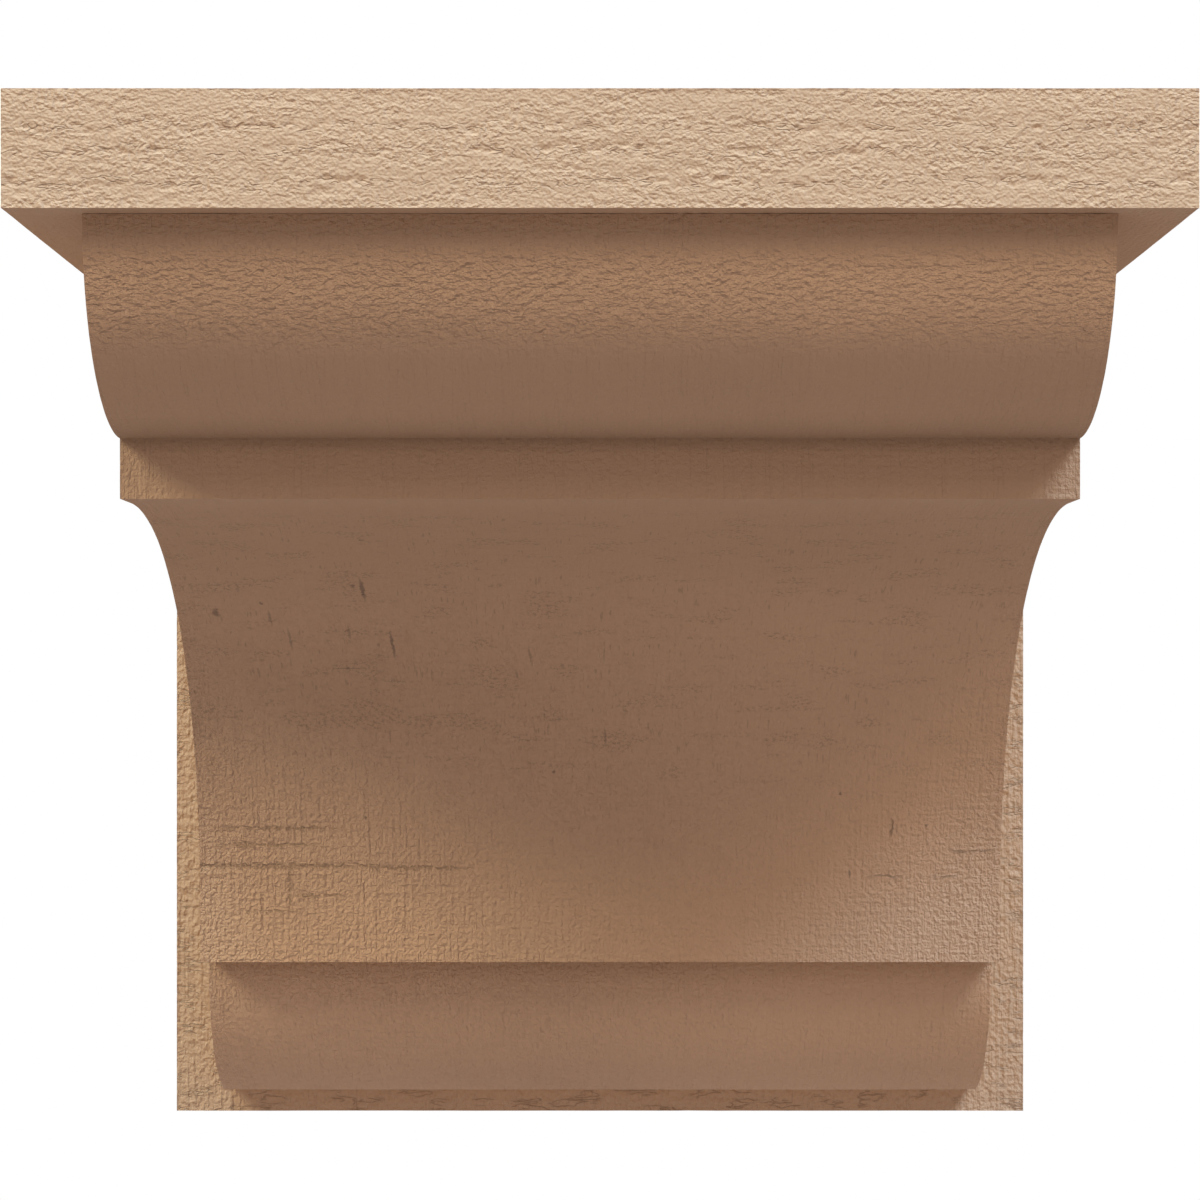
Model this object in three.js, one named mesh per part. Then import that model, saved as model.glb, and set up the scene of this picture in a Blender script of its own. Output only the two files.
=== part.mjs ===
// A rough-sawn timber corbel: a sawn, moulded block planted on a back board, under a cap board.
// Millimetres. +Z is up, -Y is the front, +X is the viewer's right.
// The origin is the centre of the wall face, so the whole corbel lies on the -Y side of it.

import * as THREE from 'three';

// The two boards, both of rough-sawn one-inch stock.
const capThickness = 25.4;
const backThickness = 25.4;

// Widths. Both boards stand past the block by the same amount on either side.
const blockWidth = 222.2;
const sideOverhang = 15.9;

// Steps of the block's profile, from the bottom of the back board upwards.
const footReveal = 8.0;
const lugHeight = 42.7;
const lipHeight = 13.3;
const coveRadius = 106.6;
const bandHeight = 14.0;
const ovoloRadius = 44.0;

// Steps of the same profile, from the face of the back board outwards.
const footDepth = 10.6;
const lugTaper = 31.3;
const lipOverhang = 15.7;
const stepDepth = 13.9;
const capNosing = 6.5;

// Straight pieces in each half of an arc.
const arcSteps = 12;

// The cap board is a little paler than the pieces below it.
const capColour = 0xc8ac90;
const backColour = 0xbfa080;
const blockColour = 0xb8977a;
const sawnRoughness = 0.88;

const totalHeight = footReveal + lugHeight + lipHeight + coveRadius + bandHeight + ovoloRadius + capThickness;
const boardWidth = blockWidth + 2 * sideOverhang;

// Levels, with zero at the middle of the wall face.
const bottomLevel = -totalHeight / 2;
const footLevel = bottomLevel + footReveal;
const lugLevel = footLevel + lugHeight;
const lipLevel = lugLevel + lipHeight;
const coveLevel = lipLevel + coveRadius;
const bandLevel = coveLevel + bandHeight;
const blockLevel = bandLevel + ovoloRadius;
const topLevel = blockLevel + capThickness;

// Distances out from the wall.
const lugFront = backThickness + footDepth + lugTaper;
const lipFront = lugFront + lipOverhang;
const coveFront = lipFront + coveRadius;
const bandFront = coveFront + stepDepth;
const blockFront = bandFront + ovoloRadius;
const capFront = blockFront + capNosing;

// Every piece is its side view carried across its width.
// In the side view x runs out from the wall and y runs up, so x is turned to face the front.
function sawnPiece(name, sideView, width, colour) {
  const geometry = new THREE.ExtrudeGeometry(sideView, {
    depth: width,
    bevelEnabled: false,
    curveSegments: arcSteps,
  });
  geometry.translate(0, 0, -width / 2);
  const outwards = new THREE.Vector3(0, -1, 0);
  const upwards = new THREE.Vector3(0, 0, 1);
  const sideways = new THREE.Vector3(-1, 0, 0);
  geometry.applyMatrix4(new THREE.Matrix4().makeBasis(outwards, upwards, sideways));

  const finish = new THREE.MeshStandardMaterial({ color: colour, roughness: sawnRoughness, metalness: 0 });
  const mesh = new THREE.Mesh(geometry, finish);
  mesh.name = name;
  return mesh;
}

// A board's side view: it starts at the wall and fills the given levels.
function boardView(front, low, high) {
  const outline = new THREE.Shape();
  outline.moveTo(0, low);
  outline.lineTo(front, low);
  outline.lineTo(front, high);
  outline.lineTo(0, high);
  return outline;
}

// The lug under the lip swells forward from its flat foot and meets the lip's underside plumb.
// Its radius follows from how high it is and how far it tapers back.
function addLug(outline) {
  const radius = (lugHeight ** 2 + lugTaper ** 2) / (2 * lugTaper);
  const footAngle = -Math.asin(lugHeight / radius);
  outline.absarc(lugFront - radius, lugLevel, radius, footAngle, 0, false);
}

// The cove is a hollow quarter circle, plumb at the lip and level under the band.
function addCove(outline) {
  outline.absarc(coveFront, lipLevel, coveRadius, Math.PI, Math.PI / 2, true);
}

// The ovolo is a full quarter circle, level on the band and plumb under the cap board.
function addOvolo(outline) {
  outline.absarc(bandFront, blockLevel, ovoloRadius, -Math.PI / 2, 0, false);
}

// The block's side view, from the foot up to the cap board.
// An arc draws the straight line that leads to it, such as the front of the lip or of the band.
function blockView() {
  const outline = new THREE.Shape();
  outline.moveTo(backThickness, footLevel);
  addLug(outline);
  outline.lineTo(lipFront, lugLevel);
  addCove(outline);
  outline.lineTo(bandFront, coveLevel);
  addOvolo(outline);
  outline.lineTo(backThickness, blockLevel);
  return outline;
}

// The cap board runs back over the top edge of the back board to the wall.
const capBoard = sawnPiece('cap_board', boardView(capFront, blockLevel, topLevel), boardWidth, capColour);
const backBoard = sawnPiece('back_board', boardView(backThickness, bottomLevel, blockLevel), boardWidth, backColour);
const block = sawnPiece('body', blockView(), blockWidth, blockColour);

const corbel = new THREE.Group();
corbel.add(capBoard, backBoard, block);

export default corbel;
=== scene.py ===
# %% [markdown]
# # A rough-sawn corbel
# This corbel is three pieces of rough-sawn timber under a matt tan primer: a cap board, a back board
# and one moulded block between them. The solids already have the right outline, so this lesson only
# gives them their skin: torn fibres, saw ridges, cracks and the stains that show through thin paint.
# Each solid is replaced by a closed surface with the same corners, worked out with numpy.

# %% The frame
import math

import bpy
import numpy as np
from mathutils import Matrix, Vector


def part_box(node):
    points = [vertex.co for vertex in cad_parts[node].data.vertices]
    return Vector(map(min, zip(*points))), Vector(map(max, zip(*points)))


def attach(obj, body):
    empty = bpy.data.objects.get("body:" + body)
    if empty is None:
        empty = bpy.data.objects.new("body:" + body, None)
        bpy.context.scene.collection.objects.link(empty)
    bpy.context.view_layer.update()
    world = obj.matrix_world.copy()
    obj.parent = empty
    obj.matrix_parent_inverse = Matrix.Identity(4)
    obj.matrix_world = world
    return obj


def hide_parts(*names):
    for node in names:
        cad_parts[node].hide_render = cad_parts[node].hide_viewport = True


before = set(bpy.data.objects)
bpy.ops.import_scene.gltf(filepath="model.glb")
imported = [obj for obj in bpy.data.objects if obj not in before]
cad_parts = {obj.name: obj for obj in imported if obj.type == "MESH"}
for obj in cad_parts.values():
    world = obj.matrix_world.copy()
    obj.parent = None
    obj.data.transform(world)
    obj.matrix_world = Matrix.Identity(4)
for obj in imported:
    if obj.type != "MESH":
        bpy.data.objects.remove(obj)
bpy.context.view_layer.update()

# %% [markdown]
# ## Sizes
# The boxes of the two boards come from the frame. The block's profile is written as the same steps
# that the joiner marks out, from the foot upwards and from the back board outwards. The steps have
# to end at the block's own box, and the cell prints how far off they are.

# %% Sizes
MM = 0.001
LUG_HEIGHT = 42.7 * MM
LUG_TAPER = 31.3 * MM
LIP_HEIGHT = 13.3 * MM
LIP_OVERHANG = 15.7 * MM
COVE_RADIUS = 106.6 * MM
STEP_DEPTH = 13.9 * MM
BAND_HEIGHT = 14.0 * MM
FOOT_DEPTH = 10.6 * MM

block_low, block_high = (np.array(corner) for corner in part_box("body"))
cap_low, cap_high = (np.array(corner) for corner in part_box("cap_board"))
back_low, back_high = (np.array(corner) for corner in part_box("back_board"))

block_back = -block_high[1]
foot_level = block_low[2]
foot_front = block_back + FOOT_DEPTH
lug_front = foot_front + LUG_TAPER
lug_level = foot_level + LUG_HEIGHT
lip_front = lug_front + LIP_OVERHANG
lip_level = lug_level + LIP_HEIGHT
cove_front = lip_front + COVE_RADIUS
cove_level = lip_level + COVE_RADIUS
band_front = cove_front + STEP_DEPTH
band_level = cove_level + BAND_HEIGHT
ovolo_radius = block_high[2] - band_level
profile_error = -block_low[1] - (band_front + ovolo_radius)
print(f"ovolo radius {ovolo_radius / MM:.2f} mm, profile off by {abs(profile_error) / MM:.4f} mm")

# %% [markdown]
# ## Noise that repeats itself exactly
# Sawn timber is irregular, but the script has to give the same corbel on every run. So the noise is
# a formula: each point of a lattice gets a scrambled number, and between the points it is blended.
# A long, low lattice cell gives marks that are drawn out along the grain.

# %% Noise
ALL_BITS = np.uint64(0xFFFFFFFF)
HALF_RANGE = 2147483647.5
LATTICE_START = 5000.0


def scrambled(column, row, seed):
    """A value from -1 to 1 for each pair of whole numbers: their bits are multiplied and folded."""
    bits = column.astype(np.uint64) * np.uint64(374761393) + row.astype(np.uint64) * np.uint64(668265263)
    bits = (bits + np.uint64(seed) * np.uint64(2654435761)) & ALL_BITS
    bits = ((bits ^ (bits >> np.uint64(13))) * np.uint64(1274126177)) & ALL_BITS
    bits = ((bits ^ (bits >> np.uint64(16))) * np.uint64(2246822519)) & ALL_BITS
    return (bits ^ (bits >> np.uint64(15))) / HALF_RANGE - 1.0


def noise(s, t, cell_s, cell_t, seed):
    """Smooth noise from -1 to 1: the four lattice values round a point, blended by 3f^2 - 2f^3."""
    u = s / cell_s + LATTICE_START
    v = t / cell_t + LATTICE_START
    column = np.floor(u)
    row = np.floor(v)
    fade_u = (u - column) ** 2 * (3 - 2 * (u - column))
    fade_v = (v - row) ** 2 * (3 - 2 * (v - row))
    below = scrambled(column, row, seed) * (1 - fade_u) + scrambled(column + 1, row, seed) * fade_u
    above = scrambled(column, row + 1, seed) * (1 - fade_u) + scrambled(column + 1, row + 1, seed) * fade_u
    return below * (1 - fade_v) + above * fade_v


def layered(s, t, cell_s, cell_t, seed, layers=3):
    """Noise plus half as much of half the size, and so on, over the sum of the weights."""
    total = 0.0
    for layer in range(layers):
        total = total + noise(s, t, cell_s / 2**layer, cell_t / 2**layer, seed + layer) / 2**layer
    return total / (2 - 2.0 ** (1 - layers))


def step(value, low, high):
    """0 below low, 1 above high, and a smooth rise 3f^2 - 2f^3 between them."""
    share = np.clip((value - low) / (high - low), 0, 1)
    return share**2 * (3 - 2 * share)


def seams(s, t, cell_s, cell_t, width, seed):
    """Thin branching lines, 1 on the line and 0 away from it: where layered noise crosses zero."""
    return 1 - step(np.abs(layered(s, t, cell_s, cell_t, seed)), 0.0, width)


test_s, test_t = np.meshgrid(np.linspace(0, 0.1, 400), np.linspace(0, 0.1, 400))
print(f"noise spreads {layered(test_s, test_t, 4 * MM, 2 * MM, 1).std():.3f} about its middle")

# %% [markdown]
# ## Skins made of patches
# A piece is a closed skin of flat and curved patches. Every patch is a grid of points with the way
# it faces, and two numbers for each point, how far it lies along the grain and across it. The depth
# of the relief is a function of those two numbers. Where patches meet, their points are welded, and
# the welded point goes in along both faces, so the arris comes out ragged but stays closed.

# %% Patches
WELD = 1.37e-6
ARRIS_SHARE = 0.45
FACING_STEPS = 1e4
SHARP_ANGLE = 50


def patch(points, facing, s, t, depth):
    """A grid of points, facing one way per point, at (s, t) on the face, sunk by depth(s, t)."""
    facing = np.broadcast_to(facing, points.shape)
    return {"points": points, "facing": facing, "s": s, "t": t, "depth": depth(s, t), "rim": False}


def rim(points, facing):
    """One flat face with a point on every point of its rim, for a side that nothing shows of."""
    flat = np.zeros((len(points), 1))
    turn = np.cross(points, np.roll(points, -1, axis=0)).sum(axis=0) @ facing
    made = patch((points if turn > 0 else points[::-1])[:, None], facing, flat, flat, smooth_field)
    made["rim"] = True
    return made


def smooth_field(s, t):
    """No relief at all, for faces that are never seen."""
    return np.zeros(np.broadcast(s, t).shape)


def grid_faces(shape, first):
    """Each cell of a grid as its four corners, in order round the cell, counted from first."""
    index = first + np.arange(shape[0] * shape[1]).reshape(shape)
    corners = (index[:-1, :-1], index[1:, :-1], index[1:, 1:], index[:-1, 1:])
    return np.stack(corners, axis=-1).reshape(-1, 4)


def turned_out(faces, points, facing):
    """Faces whose corners run clockwise, seen from outside, are turned round."""
    a, b, c = (points[faces[:, corner]] for corner in (0, 1, 2))
    inward = np.einsum("ij,ij->i", np.cross(b - a, c - b), facing[faces[:, 0]]) < 0
    return np.where(inward[:, None], faces[:, ::-1], faces)


def weld(name, patches):
    """One closed mesh: points closer than WELD become one, and each is moved in by its mean depth
    times the sum of the ways it faces. The grain map holds (s, t) in metres for every corner."""
    points = np.concatenate([p["points"].reshape(-1, 3) for p in patches])
    facing = np.concatenate([p["facing"].reshape(-1, 3) for p in patches])
    s = np.concatenate([np.ravel(p["s"]) for p in patches])
    t = np.concatenate([np.ravel(p["t"]) for p in patches])
    depth = np.concatenate([np.ravel(p["depth"]) for p in patches])
    starts = np.cumsum([0] + [p["points"].shape[0] * p["points"].shape[1] for p in patches])
    placed_patches = list(zip(patches, starts))
    quads = [grid_faces(p["points"].shape[:2], first) for p, first in placed_patches if not p["rim"]]
    quads = turned_out(np.concatenate(quads), points, facing)
    rims = [first + np.arange(len(p["points"])) for p, first in placed_patches if p["rim"]]

    keys = np.round(points / WELD).astype(np.int64)
    _, keep, merged = np.unique(keys, axis=0, return_index=True, return_inverse=True)
    merged = merged.reshape(-1)
    uses = np.bincount(merged)
    mean_depth = np.bincount(merged, depth) / uses
    ways = np.unique(np.column_stack([merged, np.round(facing * FACING_STEPS)]), axis=0)
    way_point = ways[:, 0].astype(int)
    total = [np.bincount(way_point, ways[:, axis] / FACING_STEPS) for axis in (1, 2, 3)]
    total = np.stack(total, axis=1)
    ways_at = np.bincount(way_point)
    placed = points[keep] - total * (mean_depth * np.where(ways_at > 1, ARRIS_SHARE, 1.0))[:, None]

    mesh = bpy.data.meshes.new(name)
    mesh.from_pydata(placed, [], merged[quads].tolist() + [merged[ring].tolist() for ring in rims])
    grain = mesh.uv_layers.new(name="grain")
    corner_points = np.concatenate([quads.reshape(-1)] + rims)
    grain.data.foreach_set("uv", np.column_stack([s, t])[corner_points].astype(np.float32).reshape(-1))
    relief = mesh.attributes.new("relief", "FLOAT", "POINT")
    relief.data.foreach_set("value", (mean_depth / MM).astype(np.float32))
    mesh.shade_smooth()
    mesh.set_sharp_from_angle(angle=math.radians(SHARP_ANGLE))
    piece = bpy.data.objects.new(name, mesh)
    bpy.context.scene.collection.objects.link(piece)
    report(piece)
    return piece


def report(piece):
    """Prints the size of the mesh, and how many edges don't have exactly two faces."""
    mesh = piece.data
    edges = np.zeros(len(mesh.loops), dtype=np.int64)
    mesh.loops.foreach_get("edge_index", edges)
    open_edges = int((np.bincount(edges, minlength=len(mesh.edges)) != 2).sum())
    triangles = sum(len(face.vertices) - 2 for face in mesh.polygons)
    print(f"{piece.name}: {len(mesh.vertices)} points, {triangles} triangles, {open_edges} open edges")


# %% [markdown]
# ## What the saw leaves
# Three things make a sawn face. The fibres tear into small lumps that lie along the grain. The teeth
# leave ridges across it, a few millimetres apart and never quite even. And where the grain lifted,
# short cracks run along it. Each is a depth in metres, measured inwards, so nothing stands proud.

# %% Relief
CAP_CRACK_LEVELS = (17.2, 12.2, 5.6)
CRACK_SPREAD = 1.4 * MM


def torn_fibres(s, t, seed, deep=0.22 * MM, long=1.9 * MM, high=1.5 * MM, layers=2):
    """Lumps a little longer than high, some patches rougher than others."""
    rough = 0.35 + 0.65 * step(layered(s, t, 24 * MM, 7 * MM, seed + 40), -0.25, 0.25)
    return deep * rough * (0.5 - 0.5 * layered(s, t, long, high, seed, layers))


def lifted_grain(s, t, seed, deep=0.35 * MM):
    """Cracks along the grain, only where a broad, low noise allows them."""
    allowed = step(noise(s, t, 22 * MM, 3.2 * MM, seed + 7), 0.15, 0.7)
    return deep * allowed * seams(s, t, 7 * MM, 2.2 * MM, 0.12, seed)


def saw_ridges(along, across, pitch, seed, deep):
    """Ridges one pitch apart: noise that changes fast along and hardly at all across."""
    strength = 0.4 + 0.6 * step(layered(along, across, 30 * MM, 30 * MM, seed + 3, 2), -0.3, 0.5)
    return deep * strength * (0.5 - 0.5 * noise(along, across, pitch / 2, 45 * MM, seed))


def cap_front_relief(s, t):
    """The cap's front: torn fibres, cracked most along three levels of the board."""
    sway = 0.7 * MM * noise(s, t, 30 * MM, 40 * MM, 91)
    away = [(t + sway - level * MM) / CRACK_SPREAD for level in CAP_CRACK_LEVELS]
    levels = sum(np.exp(-(distance**2)) for distance in away)
    broken = step(noise(s, t, 5 * MM, 1.5 * MM, 92), -0.1, 0.4)
    cracks = 0.3 * MM * levels * broken * seams(s, t, 4 * MM, 1.5 * MM, 0.25, 90)
    return torn_fibres(s, t, 21, 0.18 * MM) + 0.5 * lifted_grain(s, t, 11) + cracks


def cap_flat_relief(s, t):
    """Top and underside: saw ridges across the grain over faint torn fibres."""
    return saw_ridges(s, t, 3 * MM, 31, 0.14 * MM) + torn_fibres(s, t, 33, 0.1 * MM)


def end_relief(s, t):
    """The boards' sawn ends: short, even fibres."""
    return torn_fibres(s, t, 41, 0.16 * MM)


def back_front_relief(s, t):
    """The back board: upright saw lines under torn fibres, and a few level cracks."""
    lines = saw_ridges(s, t, 2.4 * MM, 51, 0.14 * MM)
    return lines + torn_fibres(s, t, 52, 0.2 * MM) + lifted_grain(s, t, 55, 0.3 * MM)


def back_relief(s, t):
    """The board's back: the band saw's level marks over faint torn fibres."""
    return saw_ridges(t, s, 3 * MM, 57, 0.16 * MM) + torn_fibres(s, t, 58, 0.1 * MM)


def block_relief(s, t):
    """The moulded face: faint upright saw lines and low torn fibres over a slow swell."""
    lines = saw_ridges(s, t, 3.2 * MM, 61, 0.05 * MM)
    swell = 0.08 * MM * (0.5 - 0.5 * noise(s, t, 24 * MM, 18 * MM, 62))
    return lines + swell + torn_fibres(s, t, 63, 0.10 * MM, 2.4 * MM, 2.2 * MM, 1)


def block_side_relief(s, t):
    """The block's sides: the band saw's marks, one every three millimetres of their height s."""
    return saw_ridges(s, t, 3 * MM, 71, 0.14 * MM) + torn_fibres(s, t, 72, 0.1 * MM)


print("cap front relief, deepest:", round(float(cap_front_relief(test_s, test_t).max() / MM), 3), "mm")

# %% [markdown]
# ## The two boards
# A board is a box, but each of its six faces is a grid, so that it can carry its own relief. The
# counts along an edge are shared by the two faces that meet there. A face that is hidden behind the
# block keeps wide cells, and the points are gathered where they show.

# %% Boards
SIDES = {
    "front": (0, 2, 1, -1),
    "back": (0, 2, 1, 1),
    "left": (1, 2, 0, -1),
    "right": (1, 2, 0, 1),
    "top": (0, 1, 2, 1),
    "underside": (0, 1, 2, -1),
}


def board_face(low, high, stops, side, depth, offset):
    """One face of a box: a grid over two axes, at the low or the high end of the third."""
    first, second, third, sign = SIDES[side]
    a, b = np.meshgrid(stops[first], stops[second], indexing="ij")
    points = np.zeros(a.shape + (3,))
    points[..., first] = a
    points[..., second] = b
    points[..., third] = high[third] if sign > 0 else low[third]
    facing = np.zeros(3)
    facing[third] = sign
    return patch(points, facing, a - low[first] + offset, b - low[second], depth)


def board(name, low, high, stops, reliefs):
    """A closed box of six patches. Each face's grain starts half a metre on from the last one's."""
    patches = [
        board_face(low, high, stops, side, depth, 0.5 * number)
        for number, (side, depth) in enumerate(reliefs.items())
    ]
    return weld(name, patches)


def evenly(low, high, pitch):
    """Stops from low to high, as near to one pitch apart as a whole number of them allows."""
    return np.linspace(low, high, round((high - low) / pitch) + 1)


cap_stops = (
    evenly(cap_low[0], cap_high[0], 0.56 * MM),
    evenly(cap_low[1], cap_high[1], 5.6 * MM),
    evenly(cap_low[2], cap_high[2], 0.52 * MM),
)
cap_reliefs = {
    "front": cap_front_relief,
    "back": end_relief,
    "left": end_relief,
    "right": end_relief,
    "top": cap_flat_relief,
    "underside": cap_flat_relief,
}
cap_board = board("cap_board_sawn", cap_low, cap_high, cap_stops, cap_reliefs)

SEEN_STRIP = 18 * MM
back_stops = (
    np.concatenate([
        evenly(back_low[0], back_low[0] + SEEN_STRIP, 0.62 * MM)[:-1],
        evenly(back_low[0] + SEEN_STRIP, back_high[0] - SEEN_STRIP, 4.8 * MM)[:-1],
        evenly(back_high[0] - SEEN_STRIP, back_high[0], 0.62 * MM),
    ]),
    evenly(back_low[1], back_high[1], 1.7 * MM),
    evenly(back_low[2], back_high[2], 0.66 * MM),
)
back_reliefs = {
    "front": back_front_relief,
    "back": back_relief,
    "left": block_side_relief,
    "right": block_side_relief,
    "top": smooth_field,
    "underside": end_relief,
}
back_board = board("back_board_sawn", back_low, back_high, back_stops, back_reliefs)

# %% [markdown]
# ## The moulded block
# The block is one side view carried across its width. The side view is a row of runs: the lug's
# swelling front, the level underside of the lip, the lip, the hollow cove, the level step, the flat
# band and the round ovolo. Each run is a patch of its own, because an arris between two runs has to
# stay sharp while a run that flows into the next one has to stay smooth.

# %% The block's runs
def line_run(start, end, pitch):
    """A straight run: its points and the way it faces, a quarter turn clockwise from its course."""
    start = np.array(start)
    way = np.array(end) - start
    length = math.hypot(*way)
    share = np.linspace(0, 1, max(2, round(length / pitch)) + 1)
    facing = np.array([way[1], -way[0]]) / length
    return start + share[:, None] * way, np.broadcast_to(facing, (len(share), 2)), share * length


def arc_run(centre, radius, start, stop, pitch, hollow=False):
    """A round run: centre plus radius times (cos, sin) of the angle, facing out or, hollow, in."""
    length = radius * abs(stop - start)
    share = np.linspace(0, 1, round(length / pitch) + 1)
    angle = start + share * (stop - start)
    outward = np.column_stack([np.cos(angle), np.sin(angle)])
    return np.array(centre) + radius * outward, -outward if hollow else outward, share * length


lug_radius = (LUG_HEIGHT**2 + LUG_TAPER**2) / (2 * LUG_TAPER)
foot_angle = -math.asin(LUG_HEIGHT / lug_radius)
top_level = block_high[2]
runs = [
    arc_run((lug_front - lug_radius, lug_level), lug_radius, foot_angle, 0, 1.2 * MM),
    line_run((lug_front, lug_level), (lip_front, lug_level), 2 * MM),
    line_run((lip_front, lug_level), (lip_front, lip_level), 1.0 * MM),
    arc_run((cove_front, lip_level), COVE_RADIUS, math.pi, math.pi / 2, 1.05 * MM, hollow=True),
    line_run((cove_front, cove_level), (band_front, cove_level), 2 * MM),
    line_run((band_front, cove_level), (band_front, band_level), 1.0 * MM),
    arc_run((band_front, top_level), ovolo_radius, -math.pi / 2, 0, 1.0 * MM),
]
print("profile:", " + ".join(f"{run[2][-1] / MM:.1f}" for run in runs), "mm")

# %% [markdown]
# The block's sides are flat, so any net of points will do there, as long as its edge is the profile.
# Every point of the profile is joined by a straight row to a point on the back edge. Where the
# profile runs level, the rows have to fan upwards a little, or they would lie on top of each other.

# %% The block's skin
BACK_LIFTS = np.array([0, 0, 6, 2, 1, 8, 4, 0]) * MM
SIDE_COLUMNS = 36
COLUMN_PITCH = 1.0 * MM

columns = evenly(block_low[0], block_high[0], COLUMN_PITCH)
side_share = np.linspace(0, 1, SIDE_COLUMNS + 1)


def carried(run, start):
    """A run carried across the width: x from the columns, y and z from the profile."""
    profile, facing, length = run
    x, _ = np.meshgrid(columns, length)
    depth = np.broadcast_to(-profile[:, :1], x.shape)
    level = np.broadcast_to(profile[:, 1:], x.shape)
    points = np.stack([x, depth, level], axis=-1)
    ways = np.column_stack([np.zeros(len(profile)), -facing[:, 0], facing[:, 1]])
    s = x - columns[0]
    t = np.broadcast_to((start + length)[:, None], x.shape)
    return patch(points, ways[:, None, :], s, t, block_relief)


def side_rows(x, sign, offset):
    """The flat side at x: a row from the back edge to every point of the profile."""
    profile = np.concatenate([run[0][:-1] for run in runs] + [runs[-1][0][-1:]])
    levels = [runs[0][0][0, 1]] + [run[0][-1, 1] for run in runs]
    stops = np.concatenate([[0], np.cumsum([len(run[0]) - 1 for run in runs])])
    back = np.interp(np.arange(len(profile)), stops, levels + BACK_LIFTS)
    depth = block_back + (profile[:, :1] - block_back) * side_share
    level = back[:, None] + (profile[:, 1:] - back[:, None]) * side_share
    points = np.stack([np.full(depth.shape, x), -depth, level], axis=-1)
    sideways = np.array([sign, 0.0, 0.0])
    height = level - foot_level + offset
    return patch(points, sideways, height, depth, block_side_relief), points


def strips(left, right, facing):
    """A face that nothing shows of: cells as wide as the block, from its left edge to its right."""
    points = np.stack([left, right], axis=1)
    flat = np.zeros(points.shape[:2])
    return patch(points, facing, flat, flat, smooth_field)


def closing_faces(left, right, arris, facing):
    """The foot or the top: wide cells, and a last one that takes every point of the front arris."""
    rest = strips(left[:-1], right[:-1], facing)
    last = np.concatenate([left[-2:-1], arris, right[-2:-1]])
    return [rest, rim(last, facing)]


starts = np.cumsum([0] + [run[2][-1] for run in runs])
skin = [carried(run, start) for run, start in zip(runs, starts)]
left_side, left_points = side_rows(columns[0], -1.0, 0.5)
right_side, right_points = side_rows(columns[-1], 1.0, 1.0)
foot_arris = skin[0]["points"][0]
top_arris = skin[-1]["points"][-1]
skin += [left_side, right_side]
skin.append(strips(left_points[:, 0], right_points[:, 0], np.array([0.0, 1.0, 0.0])))
skin += closing_faces(left_points[0], right_points[0], foot_arris, np.array([0.0, 0.0, -1.0]))
skin += closing_faces(left_points[-1], right_points[-1], top_arris, np.array([0.0, 0.0, 1.0]))
block = weld("moulded_block", skin)

# %% [markdown]
# ## Shader maths as Python
# A finish is easier to read as a formula than as a web of nodes. This class wraps one socket, so
# that sums and products of sockets write their own Math nodes. Every other node comes from one
# method, which takes the node's kind, its settings and what goes into its sockets.

# %% Wires
class Wire:
    """One output of a node tree, to be used in Python expressions."""

    def __init__(self, tree, socket=None):
        self.tree = tree
        self.socket = socket

    def node(self, kind, settings, inputs, output=0):
        """Adds a node: its settings first, then each socket's value or link. Gives one output."""
        made = self.tree.nodes.new(kind)
        for name, value in settings.items():
            setattr(made, name, value)
        for place, value in inputs.items():
            if isinstance(value, Wire):
                self.tree.links.new(value.socket, made.inputs[place])
            else:
                made.inputs[place].default_value = value
        return Wire(self.tree, made.outputs[output]) if len(made.outputs) else None

    def maths(self, operation, *values):
        """One Math node on values and wires."""
        return self.node("ShaderNodeMath", {"operation": operation}, dict(enumerate(values)))

    def __add__(self, other):
        return self.maths("ADD", self, other)

    def __radd__(self, other):
        return self.maths("ADD", other, self)

    def __sub__(self, other):
        return self.maths("SUBTRACT", self, other)

    def __rsub__(self, other):
        return self.maths("SUBTRACT", other, self)

    def __mul__(self, other):
        return self.maths("MULTIPLY", self, other)

    def __rmul__(self, other):
        return self.maths("MULTIPLY", other, self)

    def __abs__(self):
        return self.maths("ABSOLUTE", self)

    def rise(self, low, high):
        """0 below low, 1 above high, and a smooth rise between them."""
        limits = {0: self, 1: low, 2: high, 3: 0.0, 4: 1.0}
        return self.node("ShaderNodeMapRange", {"interpolation_type": "SMOOTHSTEP"}, limits)

    def within(self, low, low_full, high_full, high):
        """1 between the two middle values, 0 beyond the outer two, and smooth in between."""
        return self.rise(low, low_full) * (1.0 - self.rise(high_full, high))


MIX_FACTOR, MIX_A, MIX_B, MIX_RESULT = 0, 6, 7, 2


def tinted(share, first, second):
    """The first colour, going over to the second as the share goes from 0 to 1."""
    colours = {MIX_FACTOR: share, MIX_A: first, MIX_B: second}
    return share.node("ShaderNodeMix", {"data_type": "RGBA"}, colours, MIX_RESULT)


def scaled_colour(colour, factor):
    """A colour times a number, in each of its three parts."""
    return factor.node("ShaderNodeVectorMath", {"operation": "SCALE"}, {0: colour, "Scale": factor})


print("shader maths ready")

# %% [markdown]
# ## The grain map
# Every finish is drawn on the grain map, which holds real distances: along the face and across it.
# A mark's size is given in millimetres, so a fibre is as long on the cap board as it is on the cove.

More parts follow.
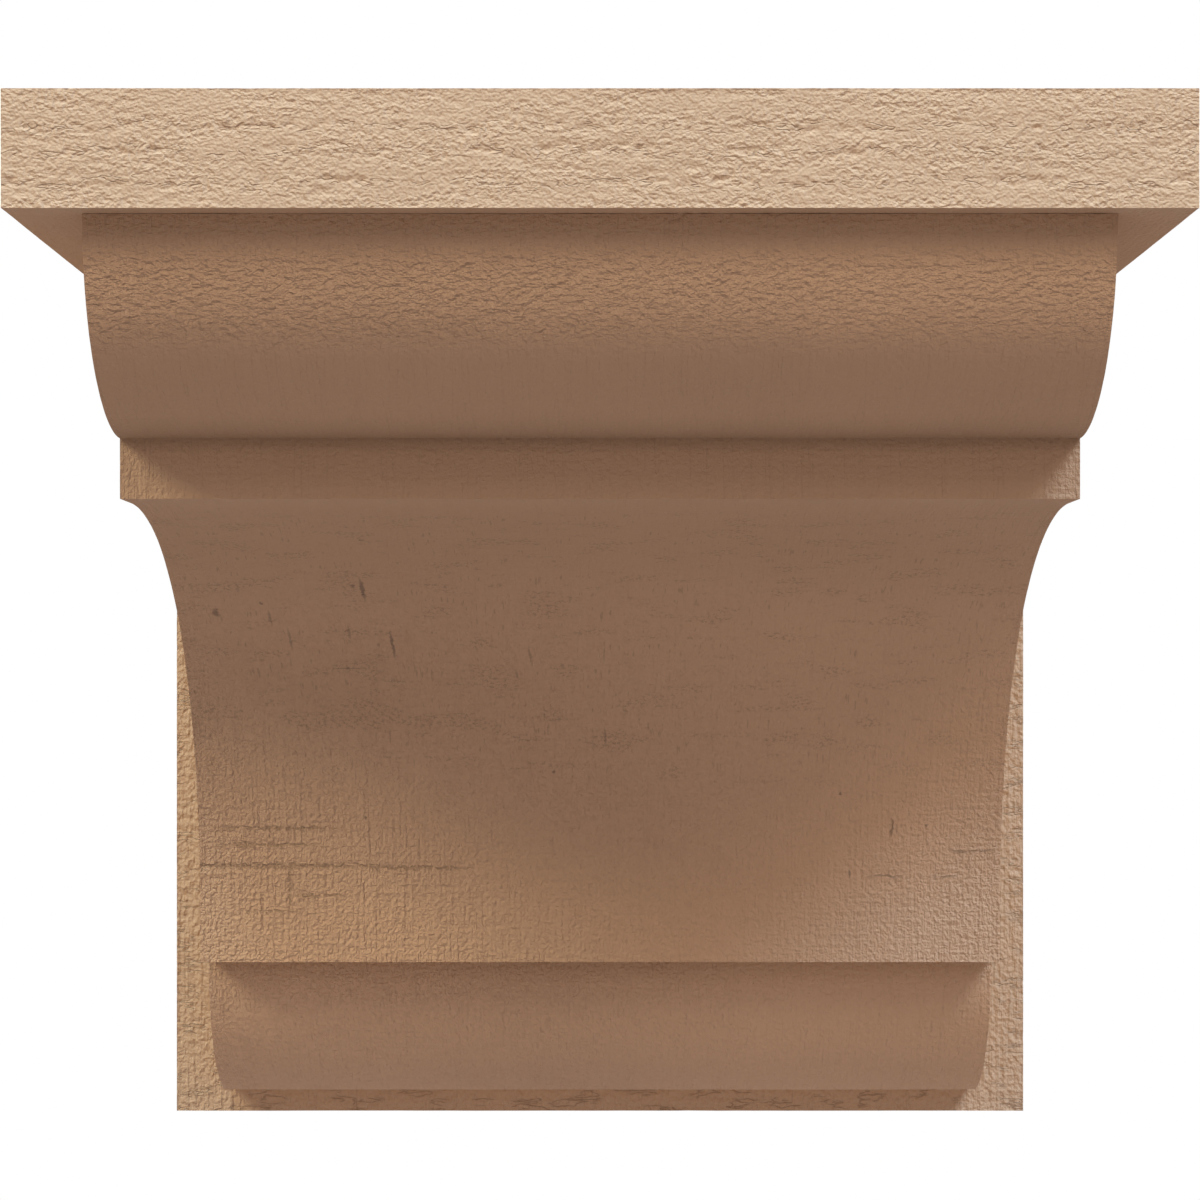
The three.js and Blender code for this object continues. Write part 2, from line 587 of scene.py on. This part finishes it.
# %% Marks on the grain map
class Grain:
    """The marks of one finish, all placed by the piece's grain map in millimetres."""

    def __init__(self, tree):
        self.start = Wire(tree)
        metres = self.start.node("ShaderNodeUVMap", {"uv_map": "grain"}, {})
        self.place = self.start.node(
            "ShaderNodeVectorMath", {"operation": "SCALE"}, {0: metres, "Scale": 1.0 / MM}
        )

    def along(self):
        """How far along the face a point lies. Each face of a piece starts well beyond the last one."""
        return self.start.node("ShaderNodeSeparateXYZ", {}, {0: self.place}, 0)

    def up(self):
        """How far up the face a point lies, in millimetres along the profile."""
        return self.start.node("ShaderNodeSeparateXYZ", {}, {0: self.place}, 1)

    def sunk(self):
        """How deep the mesh itself is sunk here, in millimetres."""
        return self.start.node("ShaderNodeAttribute", {"attribute_name": "relief"}, {}, "Fac")

    def marks(self, long, high, detail=2.0, roughness=0.5, shift=0.0):
        """Noise from 0 to 1 whose marks are that long and that high, in millimetres."""
        settings = {"operation": "MULTIPLY_ADD"}
        spot = self.start.node(
            "ShaderNodeVectorMath",
            settings,
            {0: self.place, 1: (1 / long, 1 / high, 1.0), 2: (shift, 1.7 * shift, 0.0)},
        )
        values = {"Vector": spot, "Scale": 1.0, "Detail": detail, "Roughness": roughness}
        return self.start.node("ShaderNodeTexNoise", {"noise_dimensions": "2D"}, values)

    def lines(self, long, high, width, shift=0.0, detail=3.0):
        """Thin wandering lines: 1 where the noise is at its middle, 0 a width away from it."""
        return 1.0 - abs(self.marks(long, high, detail, 0.55, shift) - 0.5).rise(0.0, width)

    def swayed(self, push, amount):
        """The place, pushed about by that many millimetres times a noise, for lines that wander."""
        settings = {"operation": "MULTIPLY_ADD"}
        moved = {0: push, 1: (amount, amount, 0.0), 2: self.place}
        return self.start.node("ShaderNodeVectorMath", settings, moved)

    def leaning(self, place, lean):
        """The place with s moved by lean times t, so that marks which lean stand upright in it."""
        settings = {"operation": "DOT_PRODUCT"}
        leaned = {0: place, 1: (1.0, lean, 0.0)}
        side = self.start.node("ShaderNodeVectorMath", settings, leaned, "Value")
        high = self.start.node("ShaderNodeSeparateXYZ", {}, {0: place}, 1)
        return self.start.node("ShaderNodeCombineXYZ", {}, {0: side, 1: high, 2: 0.0})

    def single(self, place, marks):
        """Single marks, each given by its middle (s, t), its length and its height: 1 within, 0 beyond.
        A mark is an ellipse, and of all of them the nearest counts."""
        nearest = 9.0
        for s, t, long, high in marks:
            squeeze = (2 / long, 2 / high, 0.0)
            settings = {"operation": "MULTIPLY_ADD"}
            moved = {0: place, 1: squeeze, 2: (-s * squeeze[0], -t * squeeze[1], 0.0)}
            away = self.start.node("ShaderNodeVectorMath", settings, moved)
            away = self.start.node("ShaderNodeVectorMath", {"operation": "LENGTH"}, {0: away}, "Value")
            nearest = away.maths("MINIMUM", away, nearest)
        return 1.0 - nearest.rise(0.3, 1.0)


print("grain map ready")

# %% [markdown]
# ## Tan primer on sawn timber
# The primer is matt and thin. It lies evenly on the lumps, and lets a grey-brown stain of the timber
# through in small patches of the cove. Down in the cracks, and on the boards where the mesh is sunk
# deepest, its colour goes over to brown, which is painted shadow. Each piece has a tone of its own. The
# finest part of the relief, about a millimetre high at most, is a bump of the shader, and the rest is in
# the mesh already. Noise gives the marks that are everywhere. The few single cracks and scratches that
# catch the eye are placed one by one, by their distances along the profile. Round noises alone would look
# like plaster, so each face gets lumps that lie along its own grain, and saw lines across them. The faces
# nobody sees have the saw lines only, and the cap's top has painted shade.

# %% Primer
TAN = (0.632, 0.458, 0.287)
PALE_TAN = (0.70, 0.51, 0.318)
BLOCK_TAN = (0.728, 0.511, 0.314)
STAIN = (0.20, 0.148, 0.105)
PAINTED_CRACK_SHADOW = (0.27, 0.15, 0.08)
MATT = 0.86
UNEVEN_MATT = 0.1
SHINE = 0.25


def primed_wood(name, tone, marks_on):
    """A finish: marks_on gives its finest height in mm, its shade, which holds painted shade and light in
    places, and its shares of painted crack shadow and stain.
    """
    material = bpy.data.materials.new(name)
    material.use_nodes = True
    tree = material.node_tree
    tree.nodes.clear()
    grain = Grain(tree)
    height, shade, dark, stain = marks_on(grain)
    colour = tinted(dark, scaled_colour(tone, shade), PAINTED_CRACK_SHADOW + (1.0,))
    colour = tinted(stain, colour, STAIN + (1.0,))
    bump = grain.start.node("ShaderNodeBump", {}, {"Height": height, "Strength": 1.0, "Distance": MM})
    roughness = MATT + UNEVEN_MATT * (grain.marks(3.0, 2.0, 0.0, 0.5, 7.7) - 0.5)
    surface = {"Base Color": colour, "Roughness": roughness, "Normal": bump, "Specular IOR Level": SHINE}
    skin_of_paint = grain.start.node("ShaderNodeBsdfPrincipled", {}, surface)
    grain.start.node("ShaderNodeOutputMaterial", {}, {"Surface": skin_of_paint})
    print(f"{name}: {len(tree.nodes)} nodes")
    return material


def specks(grain):
    """The share of stain in the boards' paint, in specks under a millimetre."""
    return 0.08 * grain.marks(0.9, 0.7, 2.0, 0.6, 1.3).rise(0.56, 0.70)


def cloudy(grain):
    """The boards' shade, from 0.97 to 1.03, in patches a few centimetres long."""
    return 0.97 + 0.06 * grain.marks(40.0, 20.0, 2.0, 0.5, 9.1)


print("primer ready")

# %% [markdown]
# ## Marks of the two boards
# A board's front is torn into lumps, with short cracks in level rows. Its other faces lie further along
# the grain map, so a mark is kept to one face by how far along it is. They have saw lines instead, and the
# cap's top is darkened with painted shade, less on the crests of its saw lines. All heights are in
# millimetres.

# %% Board marks
FRONT_END = (300.0, 400.0)
TOP_FACE = (1900.0, 2000.0, 2300.0, 2400.0)
UNDERSIDE_START = (2300.0, 2400.0)
OFF_THE_FACE = 50.0
CRACK_SWAY = 3.0
CAP_LUMPS = 0.52
CAP_GRIT = 0.12
CAP_CRACKS = 0.14
CAP_SAW_LINES = 0.8
UNDERSIDE_SAW_LINES = 0.15
PAINTED_TOP_SHADE = 0.38
BACK_LUMPS = 0.8
BACK_SAW_LINES = 0.45
BACK_CRACKS = 0.25


def cap_marks(grain):
    """Rough lumps, with short cracks along three levels of the board."""
    rough = 0.45 + 0.55 * grain.marks(20.0, 6.0, 1.0, 0.5, 2.7).rise(0.40, 0.58)
    lumps = grain.marks(1.6, 1.3, 2.0, 0.5) - 0.5
    grit = grain.marks(0.7, 0.6, 0.0, 0.5, 4.1) - 0.5
    along = grain.along()
    other_faces = along.rise(*FRONT_END)
    sway = CRACK_SWAY * (grain.marks(16.0, 30.0, 0.0, 0.5, 3.7) - 0.5)
    level = grain.up() + sway + OFF_THE_FACE * other_faces
    near = 0.0
    for crack_level in CAP_CRACK_LEVELS:
        near = level.maths("MAXIMUM", 1.0 - abs(level - crack_level).rise(0.2, 1.9), near)
    broken = grain.marks(4.0, 1.8, 0.0, 0.5, 8.2).rise(0.42, 0.58)
    cracks = near * grain.lines(3.2, 1.3, 0.10, 3.1, 1.0) * broken
    ridges = (grain.marks(1.3, 45.0, 1.0, 0.5, 6.3) - 0.5) * other_faces
    finer = (CAP_SAW_LINES - UNDERSIDE_SAW_LINES) * along.rise(*UNDERSIDE_START)
    height = rough * lumps * CAP_LUMPS + grit * CAP_GRIT - cracks * CAP_CRACKS
    height = height + ridges * (CAP_SAW_LINES - finer)
    # Painted shade: the cap's top face is darkened, less on the crests of its saw lines and more in their
    # grooves.
    shade = cloudy(grain) - (PAINTED_TOP_SHADE - 0.5 * ridges) * along.within(*TOP_FACE)
    # Painted shadow: the cracks, and where the mesh is sunk deepest, go over to brown.
    dark = cracks.maths("MAXIMUM", 0.38 * cracks, 0.35 * grain.sunk().rise(0.28, 0.5))
    return height, shade, dark, specks(grain)


def back_marks(grain):
    """Lumps crossed by upright lines, and a few level cracks."""
    lumps = grain.marks(1.5, 1.7, 2.0, 0.45) - 0.5
    upright = grain.marks(1.2, 24.0, 1.0, 0.5, 5.5) - 0.5
    front = 1.0 - grain.along().rise(*FRONT_END)
    broken = grain.marks(12.0, 4.0, 0.0, 0.5, 8.2).rise(0.5, 0.62)
    cracks = front * grain.lines(9.0, 2.0, 0.035, 3.1, 2.0) * broken
    height = lumps * BACK_LUMPS + upright * BACK_SAW_LINES - cracks * BACK_CRACKS
    # Painted shadow: the cracks, and on the front where the mesh is sunk deepest, go over to brown.
    dark = cracks.maths("MAXIMUM", 0.2 * cracks, 0.16 * grain.sunk().rise(0.25, 0.6) * front)
    return height, cloudy(grain), dark, specks(grain)


cap_finish = primed_wood("cap_primer", TAN, cap_marks)
back_finish = primed_wood("back_primer", PALE_TAN, back_marks)

# %% [markdown]
# ## Marks of the block
# The block's front is one long face, and its marks change with their level on the profile, in millimetres
# from the foot. The ovolo's nose is the roughest, the foot of the cove looks woven, and the hollow is
# stained. So each band is named first, by the two levels between which it comes in, and the two between
# which it goes. The bands also carry painted light and shade. The colour is darker close under the cap, on
# the ovolo's foot, under the lip and where the block faces down, which is painted shade. It is paler on
# the lug and the cove's lower left, which is painted light. The cracks are darkened with painted shadow.
# Single marks are ellipses: the middle (s, t), the length and the height.

# %% Single marks
COVE_CRACKS = (
    (22.0, 99.1, 88.0, 2.2),
    (60.0, 98.6, 46.0, 1.2),
    (19.0, 105.3, 40.0, 1.1),
    (22.0, 110.0, 46.0, 1.1),
    (33.0, 90.9, 20.0, 0.9),
    (20.0, 86.5, 24.0, 0.8),
    (25.2, 93.0, 1.2, 18.0),
    (214.0, 103.4, 16.0, 0.6),
    (190.5, 96.4, 12.0, 0.5),
    (206.5, 96.2, 9.0, 0.6),
    (191.8, 110.4, 1.0, 7.0),
)
SCRATCHES = (
    (49.4, 190.0, 1.5, 13.0),
    (55.9, 168.0, 1.3, 13.0),
    (10.2, 180.0, 2.4, 4.6),
    (22.5, 184.0, 1.5, 2.2),
    (46.9, 191.5, 1.6, 2.2),
    (51.3, 215.2, 2.2, 0.9),
    (177.4, 119.9, 1.3, 1.3),
    (201.4, 110.7, 1.3, 1.0),
    (98.3, 126.3, 1.0, 1.4),
    (46.3, 112.8, 0.9, 1.5),
    (180.4, 97.0, 0.8, 3.4),
)
FAINT_SCRATCHES = (
    (28.8, 170.0, 1.1, 11.0),
    (24.2, 178.0, 1.0, 8.5),
    (44.6, 172.7, 1.0, 7.5),
    (92.4, 164.2, 1.0, 8.5),
    (88.8, 157.2, 1.0, 3.6),
    (112.5, 137.0, 1.0, 8.5),
    (42.9, 159.5, 8.0, 0.8),
)
STAIN_STREAKS = ((145.0, 95.0), (192.0, 60.0))
SCRATCH_LEAN = 0.08
print(len(COVE_CRACKS), "cracks and", len(SCRATCHES) + len(FAINT_SCRATCHES), "scratches")

# %% [markdown]
# The sides of the block share its finish. Their level is set to a plain one, where no band reaches,
# and they get more of the lines that run up the face.

# %% Block marks
PLAIN_LEVEL = 100.0
NOSE_START = (315.0, 327.0)
NOSE_TOP = (338.0, 344.0)
SMOOTH_START = (150.0, 215.0)
ROUGH_END = (60.0, 180.0)
HOLLOW = (105.0, 140.0, 230.0, 242.0)
STREAK_FADE = (1.0, 6.0)
OVOLO_FOOT = (277.0, 281.0, 281.0, 301.0)
UNDER_CAP = (336.0, 347.0, 400.0, 401.0)
LUG = (-2.0, -1.0, 56.0, 58.0)
FACING_DOWN = (165.0, 215.0, 316.0, 330.0)
UNDER_LIP = (47.0, 56.0, 56.0, 58.0)
# Painted light and shade of the block: a share below 0 darkens its colour in that band, and a share above
# 0 lightens it.
PAINTED_SHADE_AND_LIGHT_BANDS = (
    (OVOLO_FOOT, -0.22),
    (UNDER_CAP, -0.24),
    (LUG, 0.1),
    (FACING_DOWN, -0.17),
    (UNDER_LIP, -0.16),
)
LEFT_END = (40.0, 110.0)
LOW_END = (115.0, 150.0)
PAINTED_LIGHT_LOW_LEFT = 0.09
NOSE_LUMPS = 2.0
WARP_LINES = 0.5
WEFT_LINES = 0.25
SIDE_LINES = 0.3
UPRIGHT_LINES = 0.07
CRACK_DEPTH = 0.9
CRACK_SHADE = 0.22
CRACK_WANDER = 2.0
SCRATCH_WANDER = 0.7
SCRATCH_STAIN = 0.6
FAINT_STAIN = 0.36
FLECK_STAIN = 0.38
TICK_STAIN = 0.25
STREAK_LIFT = 0.13


def block_height(grain, along, up, sides, fine, coarse):
    """The finest relief in mm, and how much of a crack there is: fine lumps under woven lines,
    coarse lumps on the nose, upright saw lines, and the single cracks."""
    nose = up.rise(*NOSE_START) * (1.0 - 0.6 * up.rise(*NOSE_TOP))
    rightward = along.rise(*ROUGH_END)
    rough = 0.5 + (1.0 - up.rise(*SMOOTH_START)) * (1.0 - 0.65 * rightward)
    warp = grain.marks(1.3, 24.0, 1.0, 0.6, 7.1) - 0.5
    weft = grain.marks(26.0, 1.3, 1.0, 0.6, 4.6) - 0.5
    woven = (warp * WARP_LINES + weft * WEFT_LINES) * rough * (1.0 - nose)
    bumpy = nose * (NOSE_LUMPS - 0.5 * rightward)
    lumps = rough * fine + bumpy * coarse + woven + warp * sides * SIDE_LINES
    upright = grain.lines(2.0, 30.0, 0.05, 5.5, 0.0)
    swayed = grain.swayed(coarse + fine, CRACK_WANDER)
    cracks = grain.single(swayed, COVE_CRACKS) * fine.rise(-0.12, 0.04)
    return lumps - upright * UPRIGHT_LINES - cracks * CRACK_DEPTH, cracks


def block_stain(grain, along, up, push):
    """The share of stain: flecks in level patches and streaks, upright ticks between them, and the
    single scratches, which lean."""
    flecks = grain.marks(1.2, 0.9, 2.0, 0.8, 1.3).rise(0.44, 0.74)
    ticks = grain.marks(0.8, 5.0, 1.0, 0.5, 2.2).rise(0.62, 0.72)
    patches = grain.marks(16.0, 6.0, 2.0, 0.6, 6.4)
    for level, reach in STAIN_STREAKS:
        streak = (1.0 - abs(up - level).rise(*STREAK_FADE)) * (1.0 - along.rise(0.7 * reach, reach))
        patches = patches + STREAK_LIFT * streak
    stain = flecks * patches.rise(0.50, 0.68) * FLECK_STAIN
    stain = stain + ticks * (1.0 - patches.rise(0.34, 0.46)) * TICK_STAIN
    stain = stain * up.within(*HOLLOW)
    leaning = grain.leaning(grain.swayed(push, SCRATCH_WANDER), SCRATCH_LEAN)
    for strength, marks in ((SCRATCH_STAIN, SCRATCHES), (FAINT_STAIN, FAINT_SCRATCHES)):
        upright_marks = [(s + SCRATCH_LEAN * t, t, long, high) for s, t, long, high in marks]
        stain = stain + strength * grain.single(leaning, upright_marks)
    return stain


def block_marks(grain):
    """The block's relief, its painted shade and light by bands, painted shadow in its cracks, and the
    stain of the hollow.
    """
    along = grain.along()
    sides = along.rise(*FRONT_END)
    up = grain.up() * (1.0 - sides) + PLAIN_LEVEL * sides
    fine = grain.marks(1.15, 1.3, 2.0, 0.65) - 0.5
    coarse = grain.marks(2.2, 1.4, 2.0, 0.65, 2.9) - 0.5
    height, cracks = block_height(grain, along, up, sides, fine, coarse)
    shade = 0.98 + 0.04 * grain.marks(55.0, 30.0, 1.0, 0.5, 9.1)
    # Painted shade and painted light by bands, laid into the block's colour.
    for band, change in PAINTED_SHADE_AND_LIGHT_BANDS:
        shade = shade * (1.0 + change * up.within(*band))
    # Painted light: the cove's lower left is made paler.
    low_left_painted_light = (1.0 - along.rise(*LEFT_END)) * (1.0 - up.rise(*LOW_END))
    shade = shade * (1.0 + PAINTED_LIGHT_LOW_LEFT * low_left_painted_light)
    # Painted shadow in the single cracks, by the share CRACK_SHADE.
    return height, shade, CRACK_SHADE * cracks, block_stain(grain, along, up, coarse + fine)


block_finish = primed_wood("block_primer", BLOCK_TAN, block_marks)

# %% [markdown]
# ## Dressing the frame
# Each skin stands for one solid of the frame, rides with it, and gets the finish made for it above.

# %% Dressing
for piece, node, finish, slot in (
    (cap_board, "cap_board", cap_finish, "cap_wood"),
    (back_board, "back_board", back_finish, "back_wood"),
    (block, "body", block_finish, "block_wood"),
):
    piece.data.materials.append(finish)
    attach(piece, "root")
    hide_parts(node)
    print(f"{piece.name} stands for {node}")

# %% [markdown]
# ## A plain studio
# The corbel hangs where its wall would be, over a plain pale floor in a white surround. The surround
# only shows: it throws no light and no shadow, so that the world's even light and the lamps do that.

# %% Studio
FLOOR_LEVEL = -1.0
FLOOR_RADIUS = 3.0
SURROUND_RADIUS = 12.0
WHITE = (1.0, 1.0, 1.0, 1.0)
FLOOR_GREY = (0.80, 0.80, 0.80, 1.0)


def studio_white(name, glow_from, glow_full):
    """Pale paint that goes over to plain white light with the distance from the middle, in metres."""
    material = bpy.data.materials.new(name)
    material.use_nodes = True
    tree = material.node_tree
    tree.nodes.clear()
    start = Wire(tree)
    place = start.node("ShaderNodeTexCoord", {}, {}, "Object")
    away = start.node("ShaderNodeVectorMath", {"operation": "LENGTH"}, {0: place}, "Value")
    paint = start.node("ShaderNodeBsdfDiffuse", {}, {"Color": FLOOR_GREY})
    glow = start.node("ShaderNodeEmission", {}, {"Color": WHITE, "Strength": 1.0})
    mixed = start.node("ShaderNodeMixShader", {}, {0: away.rise(glow_from, glow_full), 1: paint, 2: glow})
    start.node("ShaderNodeOutputMaterial", {}, {"Surface": mixed})
    return material


def round_sheet(name, radius, level, rings=24, spokes=96):
    """A flat disc: x = r cos a and y = r sin a, on rings of r and spokes of a."""
    r, a = np.meshgrid(np.linspace(0, 1, rings) * radius, np.linspace(0, 2 * np.pi, spokes + 1))
    points = np.stack([r * np.cos(a), r * np.sin(a), np.full(r.shape, level)], axis=-1)
    mesh = bpy.data.meshes.new(name)
    mesh.from_pydata(points.reshape(-1, 3), [], grid_faces(r.shape, 0).tolist())
    sheet = bpy.data.objects.new(name, mesh)
    bpy.context.scene.collection.objects.link(sheet)
    return sheet


def ball(name, radius, rings=32, spokes=64):
    """A sphere seen from inside: x, y, z = radius times (sin p cos a, sin p sin a, cos p)."""
    p, a = np.meshgrid(np.linspace(0, np.pi, rings + 1), np.linspace(0, 2 * np.pi, spokes + 1))
    points = radius * np.stack([np.sin(p) * np.cos(a), np.sin(p) * np.sin(a), np.cos(p)], axis=-1)
    mesh = bpy.data.meshes.new(name)
    mesh.from_pydata(points.reshape(-1, 3), [], grid_faces(p.shape, 0).tolist())
    surround = bpy.data.objects.new(name, mesh)
    bpy.context.scene.collection.objects.link(surround)
    return surround


floor = round_sheet("studio_floor", FLOOR_RADIUS, FLOOR_LEVEL)
floor.data.materials.append(studio_white("pale_floor", 0.75 * FLOOR_RADIUS, FLOOR_RADIUS))
surround = ball("studio_surround", SURROUND_RADIUS)
surround.data.materials.append(studio_white("white_surround", 0.0, 0.1))
surround.visible_diffuse = False
surround.visible_glossy = False
surround.visible_shadow = False
floor.visible_diffuse = False
print("floor", FLOOR_LEVEL, "m below the corbel's middle")

# %% [markdown]
# ## Light
# Four soft lamps stand in front of the corbel. Two warm ones at forty degrees light it from the left
# and the right, and two cooler ones, higher up, fill the cap board and the upright faces. The even,
# rosy light of the room reaches what they leave dark. Their powers were found together: the same
# corbel was lit by each lamp alone, and the mix that gives the photographed shading was worked out.
# A faint lamp behind keeps the back readable when someone walks round.

# %% Light
MIDDLE = np.array([0.0, -0.127, 0.0])
ROOM_COLOUR = (1.0, 0.80, 0.80, 1.0)
ROOM_STRENGTH = 0.39


def soft_light(name, side_angle, height_angle, distance, size, power, colour):
    """A round lamp aimed at the corbel: side_angle from straight in front, to the right, in degrees."""
    side = math.radians(side_angle)
    rise = math.radians(height_angle)
    way = np.array([math.sin(side) * math.cos(rise), -math.cos(side) * math.cos(rise), math.sin(rise)])
    lamp = bpy.data.lights.new(name, "AREA")
    lamp.shape = "DISK"
    lamp.size = size
    lamp.energy = power
    lamp.color = colour
    holder = bpy.data.objects.new(name, lamp)
    holder.location = MIDDLE + way * distance
    holder.rotation_euler = Vector(-way).to_track_quat("-Z", "Y").to_euler()
    bpy.context.scene.collection.objects.link(holder)
    print(f"{name}: {power} W at {distance} m")


soft_light("left_lamp", -60, 40, 2.5, 1.0, 31.8, (1.0, 0.893, 0.705))
soft_light("right_lamp", 30, 40, 2.5, 1.0, 13.3, (1.0, 0.777, 0.619))
soft_light("high_left_lamp", -15, 70, 2.5, 1.0, 43.4, (0.487, 0.764, 1.0))
soft_light("high_right_lamp", 60, 55, 2.5, 1.0, 53.1, (0.487, 0.692, 1.0))
soft_light("rear_lamp", 160, 40, 2.5, 1.5, 14.0, (1.0, 0.97, 0.93))

world = bpy.data.worlds.new("room_light")
bpy.context.scene.world = world
world.use_nodes = True
world.node_tree.nodes["Background"].inputs["Color"].default_value = ROOM_COLOUR
world.node_tree.nodes["Background"].inputs["Strength"].default_value = ROOM_STRENGTH
bpy.context.scene.view_settings.view_transform = "Standard"
bpy.context.scene.view_settings.look = "None"

# %% [markdown]
# ## Camera
# The photograph is taken straight on, from half a metre in front of the cap board, with upright
# lines kept upright: the camera is level and its frame is shifted up. The focal length follows from
# the width of the cap board in the frame, and the shift from where level lines meet.

# %% Camera
FRAME_WIDTH = 1200
CAP_WIDTH_IN_FRAME = 1198.9
LEVEL_ROW = 687.5
CAMERA_TO_CAP = 0.5494
SENSOR_WIDTH = 36.0

cap_width = cap_high[0] - cap_low[0]
focal_in_frame = CAP_WIDTH_IN_FRAME * CAMERA_TO_CAP / cap_width
camera_data = bpy.data.cameras.new("camera")
camera_data.sensor_width = SENSOR_WIDTH
camera_data.lens = SENSOR_WIDTH * focal_in_frame / FRAME_WIDTH
camera_data.shift_y = (LEVEL_ROW - FRAME_WIDTH / 2) / FRAME_WIDTH
camera_data.clip_start = 0.01
camera = bpy.data.objects.new("camera", camera_data)
camera.location = (0.0, cap_low[1] - CAMERA_TO_CAP, 0.0)
camera.rotation_euler = (math.radians(90), 0.0, 0.0)
bpy.context.scene.collection.objects.link(camera)
bpy.context.scene.camera = camera
print(f"lens {camera_data.lens:.1f} mm, shift {camera_data.shift_y:.4f}")
